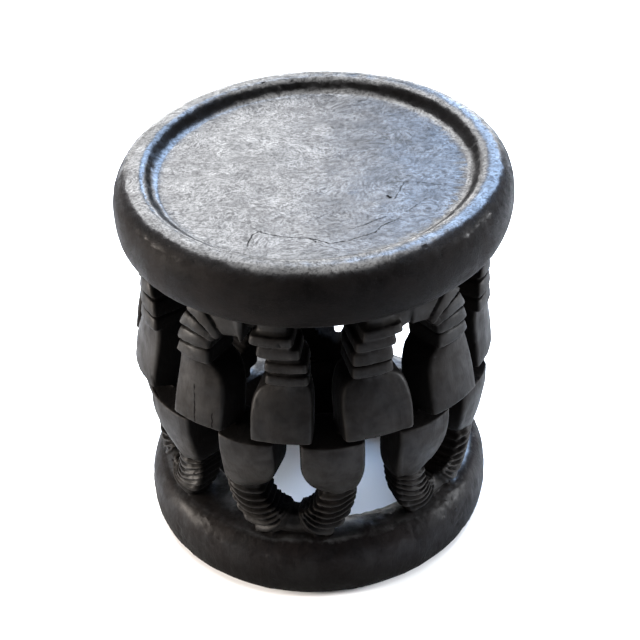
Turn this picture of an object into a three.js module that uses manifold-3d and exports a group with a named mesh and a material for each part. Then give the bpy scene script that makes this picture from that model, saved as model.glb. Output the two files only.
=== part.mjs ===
// Round stool carved from one log: a dished seat on a ring of double bells over a ring base.
import * as THREE from 'three';
import { mergeGeometries, mergeVertices } from 'three/addons/utils/BufferGeometryUtils.js';
import Module from 'manifold-3d';

// Sizes in mm. Height is +Z. Ring angles run from the side that faces the camera (-Y), positive
// towards +X, so angle 0 is the front.
const HEIGHT = 420.4;
const SEAT_R = 200;
const SEAT_UNDER = 355;
const DISH_FLOOR = 407.7;
const DISH_R = 155;
const BASE_R = 181;
const BASE_TOP = 70.5;
const HOLE_R = 129;
const HOLE_OFF = 11;
const HOLE_TIGHT = 9;
const HOLE_TIGHT_DEG = -57;
const SEAT_OVAL = 0.009;
const SEAT_OVAL_DEG = 42;
const LEAN_FULL = 9.3;
const LEAN_TOP = 395;
const LEAN_BOTTOM = 30;
const SEAT_SIDES = 48;
const BASE_SIDES = 38;

// One lean for the whole log: the base sits a little to the left of the seat.
const lean = (z) => {
  const t = Math.min(1, Math.max(0, (LEAN_TOP - z) / (LEAN_TOP - LEAN_BOTTOM)));
  return -LEAN_FULL * t;
};

// Seat outline from the middle of the dish, over the rim, to the middle of the underside.
const SEAT_OUTLINE = [
  [0, DISH_FLOOR], [DISH_R - 5, DISH_FLOOR], [DISH_R + 2.5, 409.4], [165, 416.8], [172, HEIGHT],
  [184.5, HEIGHT], [191.5, 416.8], [197, 407], [SEAT_R, 388], [199, 373.5], [195.5, 362],
  [187, SEAT_UNDER], [0, SEAT_UNDER],
];

// Base ring outline, closed on itself, starting low on the hole wall.
const BASE_OUTLINE = [
  [117, 6], [122, 0], [166, 0], [176.5, 6], [181, 18], [BASE_R, 36], [178.5, 52], [171, 65],
  [159, BASE_TOP], [139, BASE_TOP], [HOLE_R, 62],
];

// The twelve upper bells, mouth down, from the front left round: angle of the middle, width, how
// far the bell and its neck are set in, how far the neck starts to the outer side of the pair, how
// much wider and lower it starts than most, the squareness of its arch, the back corner cuts.
// A neck with a stack rises as flat blocks, and meets its pair through a bridge set back behind.
const UPPER = [
  { deg: -71, wide: 64, inset: 4, neckIn: -2, out: 9, neckPlus: 2, low: 0, square: 2.6, cut: [6, 6] },
  { deg: -39.5, wide: 61, inset: 0, neckIn: 0, out: 12, neckPlus: 3, low: 0, square: 3, cut: [6, 6] },
  {
    deg: -12, wide: 61, inset: 0, neckIn: 0, out: 5.5, neckPlus: 1.5, low: 6, square: 1.9, cut: [6, 16],
    stack: [[281, 291, 0], [296, 306, 0.5], [312, 323, 8], [326, 336, 15]], setBack: 9,
  },
  {
    deg: 17.5, wide: 71, inset: 0, neckIn: 0, out: 3, neckPlus: 1, low: 1, square: 2.2, cut: [4, 7],
    stack: [[285, 297, 0], [300, 313, 0], [316, 326, 3], [328, 338, 10]], setBack: 2,
  },
  { deg: 45, wide: 64, inset: 0, neckIn: 0, out: 8, neckPlus: 4, low: 0, square: 3, cut: [4, 6] },
  { deg: 72, wide: 60, inset: 11, neckIn: 0, out: 8, neckPlus: 2, low: 0, square: 2.6, cut: [6, 6] },
  { deg: 106, wide: 62, inset: 12, neckIn: 0, out: 7, neckPlus: 1, low: 0, square: 2.6, cut: [6, 6] },
  { deg: 137, wide: 64, inset: 2, neckIn: 0, out: 7, neckPlus: 1, low: 0, square: 2.6, cut: [6, 6] },
  { deg: 167, wide: 66, inset: 0, neckIn: 0, out: 6, neckPlus: 1, low: 2, square: 2.6, cut: [6, 6] },
  { deg: 197, wide: 66, inset: 0, neckIn: 0, out: 7, neckPlus: 1, low: 0, square: 2.6, cut: [6, 6] },
  { deg: 227, wide: 64, inset: 2, neckIn: 0, out: 7, neckPlus: 1, low: 2, square: 2.6, cut: [6, 6] },
  { deg: 257, wide: 62, inset: 5, neckIn: -1, out: 7, neckPlus: 1, low: 0, square: 2.6, cut: [6, 6] },
];

// The twelve lower bells, mouth up, half a step round from the upper ones.
const LOWER = [
  { deg: -55, wide: 68, inset: 0, neckIn: 0, out: 7, neckPlus: 1, low: 0, square: 2.2, cut: [6, 6] },
  { deg: -24, wide: 60, inset: 0, neckIn: 0, out: 12, neckPlus: 3, low: 1, square: 2.2, cut: [6, 6] },
  { deg: 3.6, wide: 64, inset: 0, neckIn: 0, out: 7, neckPlus: 2, low: 2, square: 2.2, cut: [6, 6] },
  { deg: 34.5, wide: 61, inset: 0, neckIn: 0, out: 5, neckPlus: 1, low: 4, square: 2.3, cut: [10, 6] },
  { deg: 61.5, wide: 57, inset: 3, neckIn: 0, out: 8, neckPlus: 1, low: 0, square: 2.2, cut: [6, 6] },
  { deg: 92, wide: 64, inset: 11, neckIn: 5, out: 7, neckPlus: 1, low: 0, square: 2.2, cut: [6, 6] },
  { deg: 123, wide: 64, inset: 3, neckIn: 1, out: 7, neckPlus: 1, low: 0, square: 2.2, cut: [6, 6] },
  { deg: 156.5, wide: 62, inset: 0, neckIn: 0, out: 8, neckPlus: 1, low: 0, square: 2.4, cut: [6, 6] },
  { deg: 183, wide: 62, inset: 0, neckIn: 0, out: 8, neckPlus: 1, low: 0, square: 2.4, cut: [6, 6] },
  { deg: 212, wide: 64, inset: 0, neckIn: 0, out: 8, neckPlus: 1, low: 0, square: 2.6, cut: [6, 6] },
  { deg: 243, wide: 64, inset: 2, neckIn: 0, out: 7, neckPlus: 1, low: 0, square: 2.2, cut: [6, 6] },
  { deg: 273, wide: 64, inset: 8, neckIn: 3, out: 7, neckPlus: 1, low: 0, square: 2.2, cut: [6, 6] },
];

// Bell outlines from the mouth to the neck: height, how far the inner and the outer side have
// drawn in to the neck (0 to 1), front radius, back radius, corner.
const UPPER_BELL = [
  [219.5, 0, 0, 196.5, 147, 2.5], [240, -0.03, -0.04, 192.5, 145, 3],
  [258, 0.04, 0, 188, 142, 4], [271, 0.38, 0.3, 184.5, 140, 4.5], [285, 1, 1, 181, 138, 5],
];
const LOWER_BELL = [
  [207.5, 0, 0, 190, 143, 3], [188, -0.02, -0.03, 189, 142, 3], [169, 0.06, 0.03, 185.5, 140, 4],
  [152, 0.42, 0.38, 181, 138, 6], [140, 1, 1, 176.5, 137, 8],
];
// The mouths aren't level from front to back, so that upper and lower bells grow into each other.
const UPPER_MOUTH_DROP = 0.22;
const LOWER_MOUTH_RISE = 0.2;

// Necks: start and end heights, half widths, front radii, back radius, corner and rounding of
// the front, the start of each carved ring as a share of the way, where the plain end starts, and
// how far it lies below the rings.
const UPPER_NECK = {
  z0: 285, z1: 341.5, half: 17.3, halfEnd: 17.5, front0: 181, front1: 176, back: 135,
  corner: 5, sag: 1.3, rings: [0.01, 0.19, 0.37, 0.54], fewRings: [0.01, 0.35], plain: 0.7, sink: 0,
};
const LOWER_NECK = {
  z0: 140, z1: 81, half: 17.8, halfEnd: 20, front0: 174, front1: 167, back: 134,
  corner: 8, sag: 3.5, rings: [0.07, 0.22, 0.37, 0.52, 0.67],
  fewRings: [0.1, 0.45], plain: 0.82, sink: 4,
};
// How far the lip of each carved ring stands out, how deep its groove is, and the two faces of
// a stacked block. The hidden side of the stool has fewer rings.
const LIP = 2.8;
const GROOVE = 0.6;
const BLOCK_TOP = 1.6;
const HIDDEN_FROM = 95;
const HIDDEN_TO = 265;
const BRIDGE_FROM = 0.55;
const BRIDGE_BACK = 137.5;
const MID_R = 185;
const RAD = Math.PI / 180;

const wood = new THREE.MeshStandardMaterial({ color: 0x1d1a19, roughness: 0.45 });

// Nine points round a bell or neck, as side and front-to-back distances in mm. left and right
// are the half widths on the two sides, cut are the cuts of the two back corners.
function outline(left, right, front, back, corner, sag, cut) {
  return [
    [-left, front - sag - corner], [-left + corner, front - sag], [(right - left) / 2, front],
    [right - corner, front - sag], [right, front - sag - corner], [right - 2, back + cut[1]],
    [right - 2 - cut[1], back], [-left + 2 + cut[0], back], [-left + 2, back + cut[0]],
  ];
}

// Closed solid through rings of points, with flat ends.
function loft(rings) {
  const n = rings[0].length;
  const pos = rings.flat(2);
  const index = [];
  const quad = (a, b, c, d) => index.push(a, b, c, a, c, d);
  for (let k = 0; k + 1 < rings.length; k += 1) {
    for (let i = 0; i < n; i += 1) {
      const j = (i + 1) % n;
      quad(k * n + i, k * n + j, (k + 1) * n + j, (k + 1) * n + i);
    }
  }
  const last = (rings.length - 1) * n;
  for (let i = 1; i + 1 < n; i += 1) {
    index.push(0, i + 1, i);
    index.push(last, last + i, last + i + 1);
  }
  const geo = new THREE.BufferGeometry();
  geo.setAttribute('position', new THREE.Float32BufferAttribute(pos, 3));
  geo.setIndex(index);
  return geo;
}

// Place a point of a bell or neck: its middle stands at the angle around (mm at MID_R), the
// point lies side mm beside it and radius mm out along it, so both side faces are parallel.
function place(around, side, radius, z) {
  const a = around / MID_R;
  const x = side * Math.cos(a) + radius * Math.sin(a);
  return [x + lean(z), side * Math.sin(a) - radius * Math.cos(a), z];
}

// Points and directions along a neck: a quarter of a squared oval, evenly spaced.
function archPath(sStart, sEnd, z0, z1, square) {
  const steps = 60;
  const pts = [];
  for (let k = 0; k <= steps; k += 1) {
    const p = k / steps * Math.PI / 2;
    const c = Math.max(0, Math.cos(p)) ** (2 / square);
    const v = Math.sin(p) ** (2 / square);
    pts.push([sStart + (sEnd - sStart) * (1 - c), z0 + (z1 - z0) * v]);
  }
  const run = [0];
  for (let k = 1; k <= steps; k += 1) {
    run.push(run[k - 1] + Math.hypot(pts[k][0] - pts[k - 1][0], pts[k][1] - pts[k - 1][1]));
  }
  const at = (t) => {
    const want = Math.min(Math.max(t, 0), 1) * run[steps];
    let k = 1;
    while (k < steps && run[k] < want) {
      k += 1;
    }
    const f = (want - run[k - 1]) / (run[k] - run[k - 1]);
    return [0, 1].map((i) => pts[k - 1][i] + (pts[k][i] - pts[k - 1][i]) * f);
  };
  return (t) => {
    const [s, z] = at(t);
    const [s0, z0] = at(t - 0.06);
    const [s1, z1] = at(t + 0.06);
    const len = Math.hypot(s1 - s0, z1 - z0);
    return { s, z, ds: (s1 - s0) / len, dz: (z1 - z0) / len };
  };
}

// Rings of points for one bell with its ringed neck, from the mouth to the middle of its pair, and
// for the bridge of a stacked neck. turn is +1 where the pair's other bell is on the right, -1
// where it is on the left.
function bellRings(item, turn, middleDeg, bell, neck) {
  const up = neck.z1 > neck.z0;
  const way = up ? 1 : -1;
  const s0 = item.deg * RAD * MID_R;
  const half = 0.5 * item.wide;
  const neckHalf = neck.half + item.neckPlus;
  const zStart = neck.z0 - item.low;
  const rings = [];
  bell.forEach(([z, inner, outer, frontR, back, corner], k) => {
    const toInner = half + (neckHalf - item.out - half) * inner;
    const toOuter = half + (neckHalf + item.out - half) * outer;
    const [left, right] = turn > 0 ? [toOuter, toInner] : [toInner, toOuter];
    const share = k / (bell.length - 1);
    const front = frontR - item.inset - (item.neckIn - item.inset) * share;
    const pts = outline(left, right, front, back, corner, 2.2, item.cut);
    const tilt = k > 0 ? 0 : up ? -UPPER_MOUTH_DROP : LOWER_MOUTH_RISE;
    const zBell = z - item.low * share;
    rings.push(pts.map(([u, r]) => place(s0, u, r, zBell + tilt * (front - r))));
  });
  const sStart = s0 - turn * item.out;
  const path = archPath(sStart, middleDeg * RAD * MID_R, zStart, neck.z1, item.square);
  const section = (halfWidth, front, back = neck.back) => outline(halfWidth, halfWidth,
    front - item.neckIn, back, neck.corner, neck.sag, item.cut);
  const turnedTo = (t, grow, back) => {
    const { s, z, ds, dz } = path(t);
    const front = neck.front0 + (neck.front1 - neck.front0) * t + grow;
    const pts = section(neckHalf + (neck.halfEnd - neckHalf) * t ** 2 + grow, front, back);
    return pts.map(([u, r]) => place(s + u * way * dz, 0, r, z - u * way * ds));
  };
  const end = (setBack, back) => {
    const { s, z } = path(1);
    return section(neck.halfEnd - neck.sink, neck.front1 - setBack, back)
      .map(([u, r]) => place(s + 0.6 * turn, 0, r, z - u * turn * way));
  };
  if (item.stack) {
    const block = (z, shift, grow) => section(neckHalf + grow, neck.front0 + grow)
      .map(([u, r]) => place(sStart + turn * shift, u, r, z));
    item.stack.forEach(([low, high, shift]) => {
      rings.push(block(low - 0.4, shift, -GROOVE), block(low, shift, LIP));
      rings.push(block(high, shift, BLOCK_TOP), block(high + 0.4, shift, -GROOVE));
    });
    const [, high, shift] = item.stack[item.stack.length - 1];
    rings.push(block(high + 4, shift, -4), block(SEAT_UNDER + 4, shift, -4));
    const bridge = [BRIDGE_FROM, 0.7, 0.85].map((t) => turnedTo(t, -item.setBack, BRIDGE_BACK));
    return [rings, [...bridge, end(item.setBack, BRIDGE_BACK)]];
  }
  const starts = item.deg > HIDDEN_FROM && item.deg < HIDDEN_TO ? neck.fewRings : neck.rings;
  starts.forEach((t, k) => {
    rings.push(turnedTo(t, LIP), turnedTo((starts[k + 1] ?? neck.plain) - 0.015, -GROOVE));
  });
  rings.push(turnedTo(neck.plain, -neck.sink), end(neck.sink));
  return [up ? rings : rings.map((ring) => ring.slice().reverse())];
}

const wasm = await Module();
wasm.setup();

function toSolid(geo) {
  const g = geo.clone();
  g.deleteAttribute('normal');
  g.deleteAttribute('uv');
  const m = mergeVertices(g, 1e-4);
  return new wasm.Manifold(new wasm.Mesh({
    numProp: 3,
    vertProperties: new Float32Array(m.attributes.position.array),
    triVerts: new Uint32Array(m.index.array),
  }));
}

// Turned shape about +Z from an outline of radius and height.
function turned(points, sides) {
  const geo = new THREE.LatheGeometry(points.map(([r, z]) => new THREE.Vector2(r, z)), sides);
  geo.rotateX(Math.PI / 2);
  return geo;
}

function leaned(geo) {
  const p = geo.attributes.position;
  for (let i = 0; i < p.count; i += 1) {
    p.setX(i, p.getX(i) + lean(p.getZ(i)));
  }
  return geo;
}

const seat = turned(SEAT_OUTLINE.slice().reverse(), SEAT_SIDES);
// The seat is a little oval, widest from the front left to the back right.
const seatPos = seat.attributes.position;
for (let i = 0; i < seatPos.count; i += 1) {
  const a = Math.atan2(seatPos.getY(i), seatPos.getX(i));
  const k = 1 + SEAT_OVAL * Math.cos(2 * (a - SEAT_OVAL_DEG * RAD));
  seatPos.setXY(i, seatPos.getX(i) * k, seatPos.getY(i) * k);
}
// The hole through the base isn't quite central, and comes in closer on the front left.
const base = turned([...BASE_OUTLINE, BASE_OUTLINE[0]], BASE_SIDES);
const basePos = base.attributes.position;
for (let i = 0; i < basePos.count; i += 1) {
  const [x, y] = [basePos.getX(i), basePos.getY(i)];
  const r = Math.hypot(x, y);
  if (r < HOLE_R + 11) {
    const off = (Math.atan2(x, -y) / RAD - HOLE_TIGHT_DEG) / 19;
    const k = 1 - HOLE_TIGHT * Math.exp(-off * off) / r;
    basePos.setXY(i, x * k + HOLE_OFF, y * k);
  }
}
leaned(base);
let body = toSolid(seat).add(toSolid(base));

// Adds one ring of bells. They pair off from the second one on: 1 with 2, 3 with 4, 11 with 0.
function addBells(list, bell, neck) {
  const n = list.length;
  list.forEach((item, i) => {
    const turn = i % 2 === 1 ? 1 : -1;
    const other = list[(i + turn + n) % n];
    let gap = other.deg - item.deg;
    if (gap * turn < 0) {
      gap += 360 * turn;
    }
    bellRings(item, turn, item.deg + gap / 2, bell, neck).forEach((rings) => {
      body = body.add(toSolid(loft(rings)));
    });
  });
}
addBells(UPPER, UPPER_BELL, UPPER_NECK);
addBells(LOWER, LOWER_BELL, LOWER_NECK);

// Back to a mesh with its flat faces, standing on z = 0 with the outer box centred on the axis.
const out = body.asOriginal().setTolerance(0.05).getMesh();
let geometry = new THREE.BufferGeometry();
geometry.setAttribute('position', new THREE.BufferAttribute(new Float32Array(out.vertProperties), 3));
geometry.setIndex(new THREE.BufferAttribute(new Uint32Array(out.triVerts), 1));
geometry.computeBoundingBox();
const box = geometry.boundingBox;
geometry.translate(-(box.min.x + box.max.x) / 2, -(box.min.y + box.max.y) / 2, -box.min.z);
geometry = geometry.toNonIndexed();
geometry.computeVertexNormals();

const stool = new THREE.Mesh(geometry, wood);
stool.name = 'stool';
const group = new THREE.Group();
group.name = 'carved_stool';
group.add(stool);
export default group;
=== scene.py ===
"""Carved wooden stool: a dished seat on two rings of paired bells and an open ring base."""
import logging
import math
from dataclasses import dataclass, field
from enum import Enum
from functools import reduce
from itertools import product

import bpy
import numpy as np
from mathutils import Matrix, Vector


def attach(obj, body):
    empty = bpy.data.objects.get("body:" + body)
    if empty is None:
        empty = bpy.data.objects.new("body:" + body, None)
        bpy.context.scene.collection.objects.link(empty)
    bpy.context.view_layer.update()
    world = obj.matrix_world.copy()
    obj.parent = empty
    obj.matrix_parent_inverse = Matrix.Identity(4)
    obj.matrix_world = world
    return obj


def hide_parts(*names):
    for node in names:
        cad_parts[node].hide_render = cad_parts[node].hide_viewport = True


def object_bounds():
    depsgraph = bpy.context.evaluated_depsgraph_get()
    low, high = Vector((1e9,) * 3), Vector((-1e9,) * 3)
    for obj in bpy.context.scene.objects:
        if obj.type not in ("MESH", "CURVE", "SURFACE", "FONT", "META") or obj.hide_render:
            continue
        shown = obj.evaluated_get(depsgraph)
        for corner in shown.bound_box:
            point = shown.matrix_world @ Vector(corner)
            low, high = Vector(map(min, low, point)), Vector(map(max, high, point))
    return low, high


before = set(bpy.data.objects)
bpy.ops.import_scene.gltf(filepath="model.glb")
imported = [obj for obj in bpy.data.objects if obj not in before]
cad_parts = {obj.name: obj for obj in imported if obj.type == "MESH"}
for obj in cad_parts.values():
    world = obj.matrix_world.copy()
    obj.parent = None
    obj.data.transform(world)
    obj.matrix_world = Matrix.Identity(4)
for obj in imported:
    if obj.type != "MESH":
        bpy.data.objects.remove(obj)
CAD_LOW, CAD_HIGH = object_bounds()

Array = np.ndarray
Mesh, Tree, Socket = bpy.types.Mesh, bpy.types.NodeTree, bpy.types.NodeSocket

LOG = logging.getLogger("stool")
MM = 0.001

# Sizes in mm, angles in degrees from the front, anticlockwise as seen from above.
MID_R = 185.0  # radius on which sideways distances are measured
SEAT_UNDER = 355.5  # height of the seat's underside
BASE_TOP = 74.0  # height where the base's finish ends
NECK_END = 359.0  # height where the stacked necks end inside the seat

TURN_SIDES = 240  # points round the seat and the base
TURN_STEPS = 5  # points between two rows of their outlines
BELL_STEPS = 7  # sections between two rows of a bell

# The section of a bell or neck.
FRONT_POINTS, SIDE_POINTS, BACK_POINTS = 15, 9, 6
CORNER_TURNS = (22, 45, 68)
TAPER = 2.0  # how far each side draws in towards the back
CUT_BEND = 0.3  # how far the back cuts bow out
BELL_SAG = 3.6  # how far a bell's front falls back at its sides
BELL_ROUND = 2.0  # added to the front corners of a bell

# The rings round the necks.
RING_SHARES = (0.001, 0.15, 0.3, 0.5, 0.7, 0.85, 0.995, 1.005)
RING_EDGE = 1e-3  # share of the way from a ring's edge to the next section
RING_CURVE = 0.7
LIP_LEAST = 1.0  # mm that the flat side of a lipped ring stands out at least
FIRST_DEPTH = 0.5  # depth below the first ring, as a share of a groove
NECK_FADE = 0.05  # share of the way over which a neck sinks to its plain end
TURN_REACH = 0.06  # share of the way over which a neck's direction is measured
WAY_POINTS = 121
PLAIN_AFTER, PLAIN_STOP, PLAIN_POINTS = 0.01, 0.98, 5  # sections past the last ring
PAIR_OVERLAP = 0.6  # mm that the halves of a pair run into each other

# Stacked necks: flat blocks, and a plain bridge behind them to the middle of the pair.
BLOCK_CLEAR = 0.2  # mm from a block's edge to the groove
BLOCK_LOW = ((0, -0.6), (1.4, 0))  # mm above the low edge, and out from the proudest part
BLOCK_HIGH = ((-2.5, 2.2), (0, 1.4))  # mm above the high edge, and out
STACK_RISE, STACK_IN = 4.0, 4.0  # mm above the last block, and in, where the stack ends plain
BRIDGE_STOP, BRIDGE_POINTS = 0.97, 8


class Zone(Enum):
    """The three parts of the log that are finished differently."""

    SEAT = 0
    BELLS = 1
    BASE = 2


def put(name: str, data: object) -> bpy.types.Object:
    """Makes an object and links it into the scene.

    Args:
        name: the object's name.
        data: its mesh, light or camera.

    Returns:
        The object.
    """
    made = bpy.data.objects.new(name, data)
    bpy.context.collection.objects.link(made)
    return made


@dataclass(frozen=True)
class Shell:
    """A closed surface: points in mm and four-cornered faces."""

    points: Array
    faces: Array


def smooth_rows(rows: Array, steps: int) -> Array:
    """Draws a smooth curve through rows of numbers.

    Args:
        rows: control rows, one per line.
        steps: points made for each span between two rows.

    Returns:
        The rows of the curve, both ends included.
    """
    rows = np.asarray(rows, float)
    slope = np.gradient(rows, axis=0)
    made = []
    for k in range(len(rows) - 1):
        for i in range(steps):
            u = i / steps
            h = (2 * u**3 - 3 * u**2 + 1, u**3 - 2 * u**2 + u, -2 * u**3 + 3 * u**2, u**3 - u**2)
            made.append(h[0] * rows[k] + h[1] * slope[k] + h[2] * rows[k + 1] + h[3] * slope[k + 1])
    made.append(rows[-1])
    return np.array(made)


def bands(rings: range, size: int, total: int) -> list:
    """Four-cornered faces from each of these rings of points to the next.

    Args:
        rings: numbers of the rings to go from.
        size: points in each ring.
        total: number of rings, after which it starts again.

    Returns:
        One array of faces for each ring.
    """
    i = np.arange(size)
    j = (i + 1) % size
    made = []
    for k in rings:
        n = (k + 1) % total
        made.append(np.stack([k * size + i, k * size + j, n * size + j, n * size + i], 1))
    return made


def loft(rings: Array) -> Shell:
    """Joins rings of points into a closed shell with capped ends.

    Args:
        rings: array of rings, points and coordinates.

    Returns:
        The shell, faces out if the rings run the right way round.
    """
    count, size = rings.shape[:2]
    i = np.arange(size)
    j = (i + 1) % size
    quads = bands(range(count - 1), size, count)
    points = np.concatenate([rings.reshape(-1, 3), rings[:1].mean(1), rings[-1:].mean(1)])
    low, high = count * size, count * size + 1
    last = (count - 1) * size
    quads.append(np.stack([j, i, np.full(size, low), np.full(size, low)], 1))
    quads.append(np.stack([last + i, last + j, np.full(size, high), np.full(size, high)], 1))
    return Shell(points, np.concatenate(quads))


def turned(outline: Array, sides: int, closed: bool) -> Shell:
    """Turns an outline of radius and height about the upright axis.

    Args:
        outline: rows of radius and height, anticlockwise as seen with the axis on the left.
        sides: points round the turn.
        closed: True where the outline closes on itself, False where it ends on the axis.

    Returns:
        The closed shell.
    """
    a = np.linspace(0, 2 * np.pi, sides, endpoint=False)
    rows = len(outline)
    ring = np.stack([np.cos(a), np.sin(a)], 1)
    points = np.concatenate([np.c_[ring * r, np.full(sides, z)] for r, z in outline])
    quads = bands(range(rows if closed else rows - 1), sides, rows)
    return Shell(points, np.concatenate(quads))


def fade(value: Array, start: float, width: float) -> Array:
    """Goes from 0 at the start to 1 over the width, downwards where the width is negative."""
    return np.clip((value - start) / width, 0, 1)


@dataclass(frozen=True)
class LogLean:
    """The lean of the whole log: the base sits a little to the left of the seat."""

    full: float = 9.3
    top: float = 395.0
    bottom: float = 30.0

    def shift(self, z: Array) -> Array:
        """Sideways shift in mm at the given heights."""
        return -self.full * fade(z, self.top, self.bottom - self.top)


LEAN = LogLean()


@dataclass
class Seat:
    """The round seat with its raised rim and shallow dish."""

    oval: float = 0.009
    oval_deg: float = 42.0
    outline: tuple = (
        (0, 355), (120, 355), (176, 355), (188, 356.2), (195.6, 362), (199.2, 373.5), (200, 388),
        (198.2, 401.5), (193.2, 412), (186, 418.2), (178.5, 420.2), (171, 419.9), (166, 417.2),
        (160.5, 411.4), (155.5, 408.4), (148, 407.8), (100, 407.5), (0, 407.5),
    )

    def shell(self) -> Shell:
        """Turns the seat and makes it a little oval.

        Returns:
            The seat's shell.
        """
        rows = smooth_rows(np.array(self.outline, float), TURN_STEPS)
        made = turned(rows, TURN_SIDES, False)
        p = made.points.copy()
        a = np.arctan2(p[:, 1], p[:, 0])
        k = 1 + self.oval * np.cos(2 * (a - math.radians(self.oval_deg)))
        p[:, 0] *= k
        p[:, 1] *= k
        return Shell(p, made.faces)


@dataclass
class RingBase:
    """The ring that the stool stands on, with a rough-hewn hole that isn't quite central."""

    hole_r: float = 129.0
    hole_edge: float = 16.0
    hole_fade: float = 8.0
    hole_off: float = 11.0
    tight: float = 9.0
    tight_deg: float = -57.0
    tight_wide: float = 19.0
    outline: tuple = (
        (116.5, 6), (121, 0), (166, 0), (176.5, 5.4), (180.9, 18), (181.3, 36), (178.8, 52),
        (171, 65), (159, 70.6), (139, 70.6), (129, 62),
    )

    def shell(self) -> Shell:
        """Turns the ring, moves its hole and leans it.

        Returns:
            The ring's shell.
        """
        rows = np.array(self.outline, float)
        rows = np.concatenate([rows, rows[:1]])
        made = turned(smooth_rows(rows, TURN_STEPS)[:-1], TURN_SIDES, True)
        p = made.points.copy()
        r = np.hypot(p[:, 0], p[:, 1])
        inner = fade(r, self.hole_r + self.hole_edge, -self.hole_fade)
        around = np.degrees(np.arctan2(p[:, 0], -p[:, 1]))
        off = (around - self.tight_deg) / self.tight_wide
        k = 1 - inner * self.tight * np.exp(-off * off) / r
        p[:, 0] = p[:, 0] * k + inner * self.hole_off + LEAN.shift(p[:, 2])
        p[:, 1] *= k
        return Shell(p, made.faces)


@dataclass(frozen=True)
class Bell:
    """One bell: where it stands, its size, and how its neck leaves it."""

    deg: float
    wide: float
    inset: float = 0.0
    neck_in: float = 0.0
    out: float = 7.0
    plus: float = 1.0
    low: float = 0.0
    square: float = 2.6
    cut: tuple = (6.0, 6.0)
    stack: tuple = ()
    set_back: float = 0.0


class RingCut(Enum):
    """How the rings are cut round the necks."""

    LIPPED = 0
    CORDED = 1


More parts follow.
